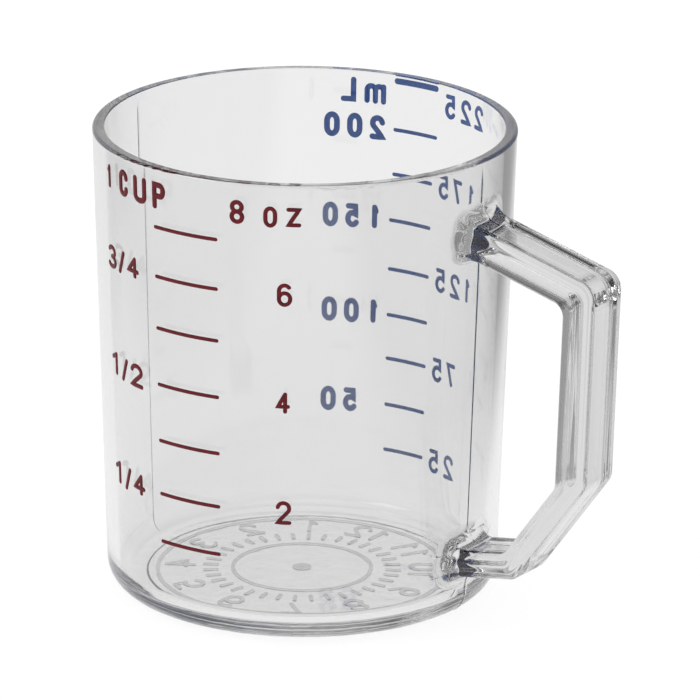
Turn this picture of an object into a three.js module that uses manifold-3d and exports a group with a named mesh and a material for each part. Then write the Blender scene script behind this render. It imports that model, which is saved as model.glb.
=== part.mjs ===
// A one-cup dry measuring cup: a clear moulded cup with an angular handle and printed volume scales.
// Lengths are in millimetres and angles in degrees. The Z axis is the cup's axis, the underside
// stands on Z = 0, and the handle points along +X.
import * as THREE from "three";
import { mergeVertices } from "three/addons/utils/BufferGeometryUtils.js";
import Module from "manifold-3d";

// Cup
const cupHeight = 78.7;
const rimRadius = 34.8;
const baseRadius = 32.2; // where the line of the wall meets the table
const wallThickness = 2.0;
const floorThickness = 3.0;
const heelRadius = 4.5; // outer round between wall and underside
const innerHeelRadius = 2.5;
const rimEdgeRadius = 0.5;
const turnSegments = 72;
const heelSegments = 6;
const innerHeelSegments = 4;
const rimEdgeSegments = 3;

// Handle
const handleWidth = 9;
const gripThickness = 5.9; // also of the upper arm
const lowerArmThickness = 4.3;
const stubThickness = 4.7;
const handleReach = 24.7; // from the wall to the outer face of the grip, square to the wall
const upperArmTop = 69.4; // height at which the upper arm's top face meets the wall
const upperArmFall = 15.3;
const stubUnderside = 8.1; // height at which the lower stub's underside meets the wall
const stubRise = 9;
const stubLength = 12.3;
const lowerArmRise = 53.9;
const outerElbowRadius = 3.2;
const innerElbowRadius = 2.2;
const handleEdgeRadius = 0.7;
const elbowSegments = 5;
const handleEdgeSegments = 2;
const rootSideFlare = 3; // how far each root widens on the wall, to each side
const rootFlare = 1; // the same, above and below
const rootFlareLength = 3;
const rootOverlap = 0.05; // how far a root's outer end lies inside the bar
const rootClearance = 0.3; // between the handle's roots and the wall

// Printed scales
const inkThickness = 0.15;
const inkClearance = 0.05;
const tickHeight = 0.55;
const tickSegmentAngle = 2;
const topTickHeight = 0.95; // the heavy tick of the full metric measure
const ounceLettering = { height: 4.1, width: 2.5, pitch: 3.55 };
const metricLettering = { height: 4.25, width: 2.75, pitch: 4 };
const strokeWidth = 0.62;
const sharpestMitre = 0.6; // cosine that limits how far a mitred bend reaches out

// Ounce and cup scale, in the middle of the -Y side
const ounceSide = -90;
const ounceTickAngle = 20.8;
const ounceNumeralTurn = 29; // from the middle of the ticks to the numerals
const fractionTurn = -25.5;
const eightTurn = 16;
const oneCupTurn = -31.5;
const ounceBrimDrop = 4.9; // from the rim down to the middle of the labels beside it
// Each ounce tick's height as a share of the cup's height, from 1 to 7 ounces
const ounceTickShares = [0.186, 0.291, 0.408, 0.531, 0.654, 0.766, 0.873];

// Metric scale, in the middle of the +Y side
const metricSide = 90.6;
const metricTickAngle = 15;
const metricStep = 25;
const oddLabelTurn = -10.2; // right-hand end of the labels 25, 75, 125, 175 and 225
const evenLabelTurn = 28.2; // right-hand end of the labels 50, 100, 150 and 200
const metricBrimDrop = 3.9;
// Each 25 mL tick's height as a share of the cup's height, from 25 to 225 mL
const metricTickShares = [0.168, 0.269, 0.372, 0.469, 0.571, 0.679, 0.777, 0.875, 0.982];

const weldDistance = 1e-4; // vertices closer than this are one

const clearPlastic = new THREE.MeshPhysicalMaterial({
  color: 0xf1f3f3,
  roughness: 0.06,
  metalness: 0,
  transmission: 0.95,
  ior: 1.585,
  opacity: 0.4,
  transparent: true,
});
const redInk = new THREE.MeshStandardMaterial({ color: 0x7d2a30, roughness: 0.45, metalness: 0 });
const blueInk = new THREE.MeshStandardMaterial({ color: 0x3d5c9c, roughness: 0.45, metalness: 0 });

const wasm = await Module();
wasm.setup();

// A three.js geometry as a manifold solid.
function solidOf(geometry) {
  const bare = geometry.clone();
  bare.deleteAttribute("normal");
  bare.deleteAttribute("uv");
  const merged = mergeVertices(bare, weldDistance);
  return new wasm.Manifold(new wasm.Mesh({
    numProp: 3,
    vertProperties: new Float32Array(merged.attributes.position.array),
    triVerts: new Uint32Array(merged.index.array),
  }));
}

// A manifold solid as a three.js geometry.
function geometryOf(solid) {
  const mesh = solid.getMesh();
  const geometry = new THREE.BufferGeometry();
  geometry.setAttribute("position", new THREE.BufferAttribute(mesh.vertProperties, 3));
  geometry.setIndex(new THREE.BufferAttribute(mesh.triVerts, 1));
  geometry.computeVertexNormals();
  return geometry;
}

const wallLean = Math.atan2(rimRadius - baseRadius, cupHeight);

// Outer radius of the wall at a height.
function wallRadius(z) {
  return baseRadius + z * Math.tan(wallLean);
}

// Points of an elliptical arc, angles in degrees, end points included.
function ovalPoints(x, y, across, up, start, end, segments) {
  const from = THREE.MathUtils.degToRad(start);
  const to = THREE.MathUtils.degToRad(end);
  return new THREE.EllipseCurve(x, y, across, up, from, to, to < from).getPoints(segments);
}

function arcPoints(x, y, radius, start, end, segments) {
  return ovalPoints(x, y, radius, radius, start, end, segments);
}

// A solid of revolution about Z from a profile of radius and height.
function turned(profile) {
  return new THREE.LatheGeometry(profile, turnSegments).rotateX(Math.PI / 2);
}

// The cup: floor, heel, leaning wall and a flat-topped rim with both edges rounded.
function cupBody() {
  const lean = THREE.MathUtils.radToDeg(wallLean);
  const levelShare = 1 / Math.cos(wallLean); // turns a distance square to the wall into a level one
  const innerWall = (z) => wallRadius(z) - wallThickness * levelShare;
  const heelReach = heelRadius * (1 - Math.sin(wallLean)) * levelShare;
  const innerHeelReach = innerHeelRadius * (1 - Math.sin(wallLean)) * levelShare;
  const heelCentre = wallRadius(0) - heelReach;
  const innerHeelCentre = innerWall(floorThickness) - innerHeelReach;
  const innerHeelLevel = floorThickness + innerHeelRadius;
  const rimEdgeLevel = cupHeight - rimEdgeRadius;
  const outerRim = wallRadius(cupHeight) - rimEdgeRadius;
  const innerRim = innerWall(cupHeight) + rimEdgeRadius;
  return turned([
    new THREE.Vector2(0, 0),
    ...arcPoints(heelCentre, heelRadius, heelRadius, -90, -lean, heelSegments),
    ...arcPoints(outerRim, rimEdgeLevel, rimEdgeRadius, -lean, 90, rimEdgeSegments),
    ...arcPoints(innerRim, rimEdgeLevel, rimEdgeRadius, 90, 180 - lean, rimEdgeSegments),
    ...arcPoints(innerHeelCentre, innerHeelLevel, innerHeelRadius, -lean, -90, innerHeelSegments),
    new THREE.Vector2(0, floorThickness),
  ]);
}

// A line in the plane of the handle: a point and the angle of its direction.
function line(x, z, angle) {
  const turn = THREE.MathUtils.degToRad(angle);
  return { start: new THREE.Vector2(x, z), along: new THREE.Vector2(Math.cos(turn), Math.sin(turn)) };
}

// The line moved square to itself, to the left of its direction.
function shifted(from, distance) {
  const side = new THREE.Vector2(-from.along.y, from.along.x);
  return { start: from.start.clone().addScaledVector(side, distance), along: from.along };
}

function pointOn(from, distance) {
  return from.start.clone().addScaledVector(from.along, distance);
}

function crossing(a, b) {
  const apart = b.start.clone().sub(a.start);
  return pointOn(a, apart.cross(b.along) / a.along.cross(b.along));
}

// An outline through corner points, each rounded by its radius.
function roundedOutline(corners) {
  const shape = new THREE.Shape();
  corners.forEach(({ at, radius }, i) => {
    const before = corners.at(i - 1).at.clone().sub(at).normalize();
    const after = corners[(i + 1) % corners.length].at.clone().sub(at).normalize();
    const reach = radius * Math.tan((Math.PI - before.angleTo(after)) / 2);
    const start = at.clone().addScaledVector(before, reach);
    const end = at.clone().addScaledVector(after, reach);
    if (i === 0) shape.moveTo(start.x, start.y);
    else shape.lineTo(start.x, start.y);
    if (radius > 0) shape.quadraticCurveTo(at.x, at.y, end.x, end.y);
  });
  shape.closePath();
  return shape;
}

const upperArm = line(wallRadius(upperArmTop), upperArmTop, -upperArmFall);
const stub = line(wallRadius(stubUnderside), stubUnderside, stubRise);
const grip = shifted(line(baseRadius, 0, 90 - THREE.MathUtils.radToDeg(wallLean)), -handleReach);
const heelCorner = pointOn(stub, stubLength);
const lowerArm = line(heelCorner.x, heelCorner.y, lowerArmRise);

// The bent bar of the handle, with its ends run into the wall to be trimmed there.
function handleBar() {
  const intoWall = -wallThickness;
  const upperInner = shifted(upperArm, -gripThickness);
  const gripInner = shifted(grip, gripThickness);
  const lowerInner = shifted(lowerArm, lowerArmThickness);
  const stubInner = shifted(stub, stubThickness);
  const outline = roundedOutline([
    { at: pointOn(upperArm, intoWall), radius: 0 },
    { at: pointOn(upperInner, intoWall), radius: 0 },
    { at: crossing(upperInner, gripInner), radius: innerElbowRadius },
    { at: crossing(gripInner, lowerInner), radius: innerElbowRadius },
    { at: crossing(lowerInner, stubInner), radius: innerElbowRadius },
    { at: pointOn(stubInner, intoWall), radius: 0 },
    { at: pointOn(stub, intoWall), radius: 0 },
    { at: heelCorner, radius: innerElbowRadius },
    { at: crossing(lowerArm, grip), radius: outerElbowRadius },
    { at: crossing(grip, upperArm), radius: outerElbowRadius },
  ]);
  const bar = new THREE.ExtrudeGeometry(outline, {
    depth: handleWidth - 2 * handleEdgeRadius,
    curveSegments: elbowSegments,
    bevelThickness: handleEdgeRadius,
    bevelSize: handleEdgeRadius,
    bevelOffset: -handleEdgeRadius,
    bevelSegments: handleEdgeSegments,
  });
  return bar.translate(0, 0, -handleWidth / 2 + handleEdgeRadius).rotateX(Math.PI / 2);
}

// A root that widens from the bar's section to the wall, round the bar that lies between the given
// line and the same line shifted by the thickness.
function flaredRoot(face, thickness) {
  const root = new THREE.BoxGeometry(1, 1, 1);
  const place = root.attributes.position;
  const away = Math.sign(thickness);
  for (let i = 0; i < place.count; i++) {
    const atWall = place.getX(i) < 0;
    const raised = atWall ? rootFlare : -rootOverlap;
    const widened = atWall ? rootSideFlare : -rootOverlap;
    const offset = place.getY(i) < 0 ? -away * raised : thickness + away * raised;
    const side = pointOn(shifted(face, offset), atWall ? -wallThickness / 2 : rootFlareLength);
    const halfWidth = handleWidth / 2 + widened;
    place.setXYZ(i, side.x, -away * Math.sign(place.getZ(i)) * halfWidth, side.y);
  }
  return root;
}

// The handle: its bar and both roots, trimmed to stand clear of the wall.
function handle() {
  const far = 2 * cupHeight;
  const trim = turned([
    new THREE.Vector2(0, -far),
    new THREE.Vector2(wallRadius(-far) + rootClearance, -far),
    new THREE.Vector2(wallRadius(far) + rootClearance, far),
    new THREE.Vector2(0, far),
  ]);
  return geometryOf(
    solidOf(handleBar())
      .add(solidOf(flaredRoot(upperArm, -gripThickness)))
      .add(solidOf(flaredRoot(stub, stubThickness)))
      .subtract(solidOf(trim)),
  );
}

// The centre lines of a glyph's strokes, in a box one unit wide and high. A closed stroke is an oval.
const glyphStrokes = {
  0: [oval(0.5, 0.5, 0.5, 0.5, 12)],
  1: [bent(0.2, 0.8, 0.55, 1, 0.55, 0)],
  2: [[...ovalPoints(0.5, 0.72, 0.48, 0.28, 165, -35, 6), ...bent(0, 0, 1, 0)]],
  3: [
    ovalPoints(0.46, 0.76, 0.44, 0.24, 150, -90, 6),
    ovalPoints(0.46, 0.26, 0.5, 0.26, 90, -150, 7),
  ],
  4: [bent(0.72, 0, 0.72, 1), bent(0.72, 1, 0, 0.28, 1, 0.28)],
  5: [[...bent(0.92, 1, 0.15, 1, 0.08, 0.56), ...ovalPoints(0.46, 0.32, 0.52, 0.32, 115, -145, 7)]],
  6: [oval(0.5, 0.3, 0.5, 0.3, 10), [...bent(0.8, 1), ...ovalPoints(0.75, 0.3, 0.75, 0.6, 120, 180, 3)]],
  7: [bent(0, 1, 1, 1, 0.35, 0)],
  8: [oval(0.5, 0.75, 0.42, 0.25, 9), oval(0.5, 0.26, 0.5, 0.26, 10)],
  "/": [bent(0.05, -0.06, 0.85, 1.06)],
};

// Points of a bent line from its coordinates in turn.
function bent(...values) {
  const points = [];
  for (let i = 0; i < values.length; i += 2) points.push(new THREE.Vector2(values[i], values[i + 1]));
  return points;
}

function oval(x, y, across, up, segments) {
  return ovalPoints(x, y, across, up, 0, 360, segments);
}

// A flat band of ink along a centre line, mitred at its bends.
function inkBand(points) {
  const closed = points[0].distanceTo(points.at(-1)) < weldDistance;
  const centres = closed ? points.slice(0, -1) : points;
  const count = centres.length;
  const corners = [];
  centres.forEach((point, i) => {
    const before = centres[closed ? (i + count - 1) % count : Math.max(i - 1, 0)];
    const after = centres[closed ? (i + 1) % count : Math.min(i + 1, count - 1)];
    const arriving = point.clone().sub(before).normalize();
    const leaving = after.clone().sub(point).normalize();
    const along = arriving.clone().add(leaving).normalize();
    const straightness = Math.max(along.dot(arriving), along.dot(leaving), sharpestMitre);
    const side = new THREE.Vector2(-along.y, along.x).multiplyScalar(strokeWidth / 2 / straightness);
    for (const [sign, level] of [[1, 0], [1, inkThickness], [-1, inkThickness], [-1, 0]]) {
      corners.push(point.x + sign * side.x, point.y + sign * side.y, level);
    }
  });
  const faces = [];
  const bands = closed ? count : count - 1;
  for (let i = 0; i < bands; i++) {
    const here = 4 * i;
    const next = 4 * ((i + 1) % count);
    for (let k = 0; k < 4; k++) {
      const m = (k + 1) % 4;
      faces.push(here + k, next + m, next + k, here + k, here + m, next + m);
    }
  }
  if (!closed) {
    const end = 4 * (count - 1);
    faces.push(0, 2, 1, 0, 3, 2, end, end + 1, end + 2, end, end + 2, end + 3);
  }
  const band = new THREE.BufferGeometry();
  band.setAttribute("position", new THREE.Float32BufferAttribute(corners, 3));
  band.setIndex(faces);
  return band;
}

// A glyph centred on the origin, lying on the XY plane.
function glyph(character, lettering) {
  const width = lettering.width - strokeWidth;
  const height = lettering.height - strokeWidth;
  const bands = glyphStrokes[character].map((stroke) => {
    const points = stroke.map((p) => new THREE.Vector2((p.x - 0.5) * width, (p.y - 0.5) * height));
    return solidOf(inkBand(points));
  });
  return geometryOf(wasm.Manifold.union(bands));
}

// Puts a flat mesh on the outside of the wall, upright and facing out.
function placeOnWall(mesh, azimuth, z) {
  const turn = THREE.MathUtils.degToRad(azimuth);
  const outward = new THREE.Vector3(Math.cos(turn), Math.sin(turn), 0);
  const right = new THREE.Vector3(-outward.y, outward.x, 0);
  const up = outward.clone().multiplyScalar(Math.sin(wallLean)).setZ(Math.cos(wallLean));
  const normal = right.clone().cross(up);
  mesh.quaternion.setFromRotationMatrix(new THREE.Matrix4().makeBasis(right, up, normal));
  mesh.position.copy(outward).multiplyScalar(wallRadius(z)).setZ(z).addScaledVector(normal, inkClearance);
}

// A tick: a bar bent round the wall.
function tick(azimuth, z, angle, height) {
  const bar = new THREE.BoxGeometry(1, 1, 1, Math.ceil(angle / tickSegmentAngle), 1, 1);
  const place = bar.attributes.position;
  for (let i = 0; i < place.count; i++) {
    const turn = THREE.MathUtils.degToRad(azimuth + place.getX(i) * angle);
    const level = z + place.getY(i) * height;
    const radius = wallRadius(level) + inkClearance + (place.getZ(i) + 0.5) * inkThickness;
    place.setXYZ(i, radius * Math.cos(turn), radius * Math.sin(turn), level);
  }
  return bar;
}

const cup = new THREE.Group();

function addMesh(group, name, geometry, material) {
  const mesh = new THREE.Mesh(geometry, material);
  mesh.name = name;
  group.add(mesh);
  return mesh;
}

// Writes a word on the wall, its last glyph centred at the given azimuth.
function addWord(group, names, text, lastAzimuth, z, lettering, material) {
  const pitchAngle = THREE.MathUtils.radToDeg(lettering.pitch / wallRadius(z));
  [...text].forEach((character, i) => {
    const mesh = addMesh(group, names[i], glyph(character, lettering), material);
    placeOnWall(mesh, lastAzimuth - (text.length - 1 - i) * pitchAngle, z);
  });
}

function addOunceScale() {
  const scale = new THREE.Group();
  const brimLabels = cupHeight - ounceBrimDrop;
  const addLabel = (names, text, lastTurn, z) =>
    addWord(scale, names, text, ounceSide + lastTurn, z, ounceLettering, redInk);
  ounceTickShares.forEach((share, i) => {
    const z = share * cupHeight;
    const ounces = i + 1;
    addMesh(scale, `ounce_tick_${ounces}`, tick(ounceSide, z, ounceTickAngle, tickHeight), redInk);
    if (ounces % 2 === 0) {
      addLabel([`ounce_numeral_${ounces}`], `${ounces}`, ounceNumeralTurn, z);
    }
  });
  const fractions = { "1/4": 2, "1/2": 4, "3/4": 6 };
  for (const [text, ounces] of Object.entries(fractions)) {
    const z = ounceTickShares[ounces - 1] * cupHeight;
    const [top, bottom] = text.split("/");
    const names = ["numerator", "bar", "denominator"].map((part) => `cup_${top}_${bottom}_${part}`);
    const halfWord = THREE.MathUtils.radToDeg(ounceLettering.pitch / wallRadius(z));
    addLabel(names, text, fractionTurn + halfWord, z);
  }
  addLabel(["ounce_numeral_8"], "8", eightTurn, brimLabels);
  addLabel(["cup_numeral_1"], "1", oneCupTurn, brimLabels);
  cup.add(scale);
}

function addMetricScale() {
  const scale = new THREE.Group();
  metricTickShares.forEach((share, i) => {
    const volume = (i + 1) * metricStep;
    const last = i === metricTickShares.length - 1;
    const z = share * cupHeight;
    const height = last ? topTickHeight : tickHeight;
    addMesh(scale, `metric_tick_${volume}`, tick(metricSide, z, metricTickAngle, height), blueInk);
    const text = `${volume}`;
    const names = [...text].map((_, place) => `metric_${volume}_digit_${place + 1}`);
    const halfGlyph = THREE.MathUtils.radToDeg(metricLettering.width / 2 / wallRadius(z));
    const end = i % 2 === 0 ? oddLabelTurn : evenLabelTurn;
    const labelHeight = Math.min(z, cupHeight - metricBrimDrop);
    const lastAzimuth = metricSide + end - halfGlyph;
    addWord(scale, names, text, lastAzimuth, labelHeight, metricLettering, blueInk);
  });
  cup.add(scale);
}

addMesh(cup, "cup_body", cupBody(), clearPlastic);
addMesh(cup, "handle", handle(), clearPlastic);
addOunceScale();
addMetricScale();

export default cup;
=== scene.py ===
# A clear one-cup dry measuring cup with printed scales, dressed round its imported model.
# Lengths are in millimetres and angles in degrees until a mesh is made. The cup's axis is Z, its
# underside stands on Z = 0 and the handle points along +X.
import math

import bpy
import numpy as np
from mathutils import Matrix, Vector
from mathutils.geometry import delaunay_2d_cdt


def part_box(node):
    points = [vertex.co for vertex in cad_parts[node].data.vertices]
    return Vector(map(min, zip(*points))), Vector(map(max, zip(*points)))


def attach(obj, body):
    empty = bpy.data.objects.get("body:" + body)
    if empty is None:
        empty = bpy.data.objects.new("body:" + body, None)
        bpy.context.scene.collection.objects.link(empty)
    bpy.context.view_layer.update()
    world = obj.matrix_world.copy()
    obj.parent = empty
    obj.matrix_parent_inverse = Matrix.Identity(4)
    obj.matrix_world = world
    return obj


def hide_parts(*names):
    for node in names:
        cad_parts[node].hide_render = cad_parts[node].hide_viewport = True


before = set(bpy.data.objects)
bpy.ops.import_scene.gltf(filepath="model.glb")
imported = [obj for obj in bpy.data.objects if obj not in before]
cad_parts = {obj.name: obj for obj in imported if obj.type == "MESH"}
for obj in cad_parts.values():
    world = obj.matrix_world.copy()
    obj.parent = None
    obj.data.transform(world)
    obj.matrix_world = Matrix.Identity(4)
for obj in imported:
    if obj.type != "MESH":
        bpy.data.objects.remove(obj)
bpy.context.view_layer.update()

METRE = 1000.0  # millimetres in a metre
WELD = 0.002  # points closer than about this are one point

cup_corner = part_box("cup_body")[1]
CUP_HEIGHT = cup_corner.z * METRE
RIM_RADIUS = cup_corner.y * METRE
WALL_SPREAD = 2.6  # how much wider the wall is at the rim than at the table
BASE_RADIUS = RIM_RADIUS - WALL_SPREAD
WALL_THICKNESS = 2.0
FLOOR_THICKNESS = 3.0
HEEL_RADIUS = 4.5
INNER_HEEL_RADIUS = 2.5
OUTER_RIM_RADIUS = 0.6  # rounding of the rim's outer edge
INNER_RIM_RADIUS = 0.3
WALL_LEAN = math.atan2(RIM_RADIUS - BASE_RADIUS, CUP_HEIGHT)

HANDLE_WIDTH = 9.0
GRIP_THICKNESS = 5.9
LOWER_ARM_THICKNESS = 4.3
STUB_THICKNESS = 4.7
HANDLE_REACH = 24.7
UPPER_ARM_TOP = 69.4
UPPER_ARM_FALL = 15.3
STUB_UNDERSIDE = 8.1
STUB_RISE = 9.0
STUB_LENGTH = 12.3
LOWER_ARM_RISE = 53.9
OUTER_ELBOW_RADIUS = 3.2
INNER_ELBOW_RADIUS = 2.2
HANDLE_EDGE_RADIUS = 0.7
SIDE_CROWN = 0.5  # how far the middle of a side face stands out
HALF_WIDTH = HANDLE_WIDTH / 2
FACE_EDGE = HALF_WIDTH - HANDLE_EDGE_RADIUS  # where a broad face ends and its rounding starts

# How far each root's fillet reaches to either side, above, below and along the bar
UPPER_FILLET = {"side": 3.4, "above": 2.7, "below": 1.8, "along": 3.0}
LOWER_FILLET = {"side": 3.9, "above": 3.6, "below": 2.4, "along": 3.0}

# The mould's parting line, a fine raised seam in the plane Y = 0
SEAM_WIDTH = 0.2
SEAM_START = 0.15  # height at which it begins on the heel
SEAM_GROWTH = 0.8  # the length over which it rises there
SEAM_STOP = 1.0  # how far below the rim it ends
SEAM_FADE = 3.0  # the length over which it runs out there
NEAR_SEAM = 0.09  # its height on the wall beside the handle
FAR_SEAM = 0.06
HANDLE_SEAM = 0.03

# Relief on the underside: a sunk panel with raised numbers, as on a mould's date dial
PANEL_RADIUS = 25.5
PANEL_DEPTH = 0.35
RELIEF_HEIGHT = 0.28
RELIEF_STROKE = 0.65
DIAL_RADIUS = 20.3
DIAL_NUMBER_HEIGHT = 4.6
DIAL_NUMBER_WIDTH = 2.7
DIAL_NUMBER_PITCH = 3.7
DIAL_RING_RADII = [11.5, 24.0]
DIAL_TICKS = 36
DIAL_TICK_RADII = (14.2, 16.2)
DIAL_RING_STEPS = 96
GATE_RADIUS = 1.6
GATE_STEPS = 24
DIAL_WELD = 1e-4  # points of the dial's outlines closer than this are one point

INK_SINK = 0.03  # how far the ink reaches into the wall's surface
INK_THICKNESS = 0.14


def wall_radius(z):
    """The outer wall's radius at a height."""
    return BASE_RADIUS + z * math.tan(WALL_LEAN)


def unit(vectors):
    """Each row vector scaled to length one."""
    vectors = np.asarray(vectors, float)
    return vectors / np.linalg.norm(vectors, axis=-1, keepdims=True)


def smooth_step(value):
    """Rises smoothly from nought to one as the value does."""
    value = np.clip(value, 0, 1)
    return value * value * (3 - 2 * value)


class Skin:
    """A closed surface gathered patch by patch and welded where points meet, with a normal at each
    corner of its faces."""

    def __init__(self):
        self.points = []
        self.index = {}
        self.faces = []
        self.normals = []

    def vertex(self, point):
        """The number of a point, the same one for points that differ by no more than rounding."""
        x, y, z = ({round((c - WELD / 4) / WELD), round((c + WELD / 4) / WELD)} for c in point)
        cells = [(a, b, c) for a in x for b in y for c in z]
        found = [self.index[cell] for cell in cells if cell in self.index]
        if not found:
            found = [len(self.points)]
            self.points.append(tuple(float(c) for c in point))
        for cell in cells:
            self.index.setdefault(cell, found[0])
        return found[0]

    def start_body(self):
        """What follows isn't joined to what is there, even where it touches it."""
        self.index = {}

    def face(self, corners, normals):
        """Adds a face, turned so that it looks the way its normals do."""
        a, b, c = (np.asarray(corners[k], float) for k in (0, 1, 2))
        facing = np.cross(b - a, np.asarray(corners[-1], float) - a) + np.cross(c - b, a - b)
        if np.dot(facing, np.sum(normals, axis=0)) < 0:
            corners = corners[::-1]
            normals = normals[::-1]
        kept = []
        for corner, normal in zip(corners, normals):
            vertex = self.vertex(corner)
            if vertex not in [v for v, _ in kept]:
                kept.append((vertex, normal))
        if len(kept) > 2:
            self.faces.append([v for v, _ in kept])
            self.normals.extend([tuple(n) for _, n in kept])

    def grid(self, points, normals, closed=False, skip=None):
        """Adds the cells of a grid of points. closed joins its last column to its first, and skip
        says of a cell's row and column whether it is left out."""
        rows, columns = points.shape[:2]
        for i in range(rows - 1):
            for j in range(columns if closed else columns - 1):
                if skip and skip(i, j):
                    continue
                k = (j + 1) % columns
                cell = [(i, j), (i, k), (i + 1, k), (i + 1, j)]
                self.face([points[c] for c in cell], [normals[c] for c in cell])

    def mesh(self, name):
        mesh = bpy.data.meshes.new(name)
        mesh.from_pydata([Vector(p) / METRE for p in self.points], [], self.faces)
        mesh.polygons.foreach_set("use_smooth", [True] * len(mesh.polygons))
        mesh.normals_split_custom_set([Vector(n).normalized() for n in self.normals])
        mesh.update()
        return mesh


def add_piece(name, mesh, material, replaced=()):
    """Puts a mesh into the scene as a piece of the cup that stands for the replaced nodes."""
    piece = bpy.data.objects.new(name, mesh)
    bpy.context.scene.collection.objects.link(piece)
    mesh.materials.append(material)
    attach(piece, "root")
    if replaced:
        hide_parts(*replaced)


# Clear moulding: the cup and its handle in one closed surface

# Sideways places of the points on the handle's broad faces, closer together at the seam
SEAM_PLACES = [0.07, 0.14, 0.22, 0.32, 0.5]
FACE_HALF = SEAM_PLACES + [0.9, 1.6, 2.4, 3.1, FACE_EDGE]
FACE_PLACES = np.array([-p for p in FACE_HALF[::-1]] + [0.0] + FACE_HALF)

# Each root of the handle stands in a patch of wall with a mesh of its own, inside a frame
FRAME_HALF_WIDTH = 10.2
FRAME_GAP = 1.2  # between the last point over the bar's face and the first one beside it
FRAME_SIDE_SHARE = 0.42  # share of its height whose points go with the bar's side face
FRAME_CORNER_SHARE = 0.5  # share from which on they go with the bar's rounded edges
UPPER_FRAME = (59.8, 73.6)  # lowest and highest point of the frame round the upper root
LOWER_FRAME = (4.7, 17.8)

# Heights of the wall's points between the two frames, and above the upper one
MIDDLE_HEIGHTS = [22, 30, 38, 46, 54]
TOP_HEIGHTS = [74.5, 76, 77.7]
FLOOR_RING_RADIUS = 18  # of a ring of points on the floor

EDGE_STEPS = 10  # steps of a rounded long edge of the handle, an even number
SIDE_STEPS = 16  # steps across a side face
ELBOW_STEPS = 24
FILLET_STEPS = 10
FILLET_PULL = 0.6  # how far the fillet's curve is drawn towards its corner
PATCH_STEPS = 3  # steps from a fillet to its frame
HALF_ROUND_STEPS = 80  # steps from the handle's frame round to the far seam
HEEL_STEPS = 14
OUTER_RIM_STEPS = 8
INNER_RIM_STEPS = 10
INNER_HEEL_STEPS = 12


def seamed(points, normals):
    """Raises the parting seam on a patch of the outer surface and tilts its normals to match."""
    x, y, z = points[..., 0], points[..., 1], points[..., 2]
    off_wall = smooth_step((x - wall_radius(z)) / UPPER_FILLET["along"])
    height = np.where(x < 0, FAR_SEAM, NEAR_SEAM + (HANDLE_SEAM - NEAR_SEAM) * off_wall)
    rise = height * np.exp(-((y / SEAM_WIDTH) ** 2))
    rise = rise * smooth_step((CUP_HEIGHT - SEAM_STOP - z) / SEAM_FADE)
    rise = rise * smooth_step((z - SEAM_START) / SEAM_GROWTH)
    tilted = normals.copy()
    tilted[..., 1] += 2 * y / SEAM_WIDTH**2 * rise
    return points + normals * rise[..., None], unit(tilted)


def arc(centre_r, centre_z, radius, start, end, steps):
    """Profile points (r, z) and normals along an arc. A negative radius makes it a hollow one."""
    turn = np.radians(np.linspace(start, end, steps + 1))
    across, up = np.cos(turn), np.sin(turn)
    return [(centre_r + radius * a, centre_z + radius * u, a, u) for a, u in zip(across, up)]


def revolve(profile, azimuths):
    """Grids of points and normals of a profile of (r, z, normal r, normal z) turned about Z."""
    profile = np.asarray(profile, float)
    across, along = np.cos(azimuths), np.sin(azimuths)

    def turned(r, z):
        return np.stack(
            [np.outer(r, across), np.outer(r, along), np.outer(z, np.ones_like(across))], axis=-1
        )

    return turned(profile[:, 0], profile[:, 1]), turned(profile[:, 2], profile[:, 3])


def on_wall(azimuths, z):
    """Points on the outer wall and the wall's normals there."""
    azimuths, z = np.broadcast_arrays(azimuths, z)
    across, along = np.cos(azimuths), np.sin(azimuths)
    radius = wall_radius(z)
    level = math.cos(WALL_LEAN)
    fall = np.full(z.shape, -math.sin(WALL_LEAN))
    points = np.stack([radius * across, radius * along, z], axis=-1)
    normals = np.stack([level * across, level * along, fall], axis=-1)
    return points, normals


def frame_side(inner, outer):
    """The places between a straight stretch's end and the frame's corner, corner included."""
    steps = EDGE_STEPS // 2
    return [inner + (outer - inner) * k / steps for k in range(1, steps + 1)]


def frame_columns():
    """Azimuths of the points across a frame, in radians."""
    tail = frame_side(FACE_EDGE + FRAME_GAP, FRAME_HALF_WIDTH)
    places = np.array([-p for p in tail[::-1]] + list(FACE_PLACES) + tail)
    return places / wall_radius(CUP_HEIGHT / 2)


def frame_rows(low, high):
    """Heights of the points up a frame."""
    middle = (low + high) / 2
    half = (high - low) / 2
    straight = np.linspace(-FRAME_SIDE_SHARE * half, FRAME_SIDE_SHARE * half, SIDE_STEPS + 1)
    tail = frame_side(FRAME_CORNER_SHARE * half, half)
    return middle + np.array([-p for p in tail[::-1]] + list(straight) + tail)


def ring_of_frame(columns, rows):
    """Walks round a frame's edge in the order of a handle section: top, +Y side, bottom, -Y side."""
    half_edge = EDGE_STEPS // 2
    walk = [(c, rows[-1]) for c in columns[half_edge:]]
    walk += [(columns[-1], r) for r in rows[-2::-1]]
    walk += [(c, rows[0]) for c in columns[-2::-1]]
    walk += [(columns[0], r) for r in rows[1:]]
    walk += [(c, rows[-1]) for c in columns[1:half_edge]]
    return np.array(walk)


def line(x, z, angle):
    """A line in the handle's plane: a point on it and its direction."""
    turn = math.radians(angle)
    return np.array([x, z]), np.array([math.cos(turn), math.sin(turn)])


def shifted(track, distance):
    """The line moved sideways, to the left of its direction."""
    start, along = track
    return start + distance * np.array([-along[1], along[0]]), along


def crossing(a, b):
    """The point where two lines cross."""
    (p, u), (q, v) = a, b
    share = (q - p)[0] * v[1] - (q - p)[1] * v[0]
    return p + u * share / (u[0] * v[1] - u[1] * v[0])


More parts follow.
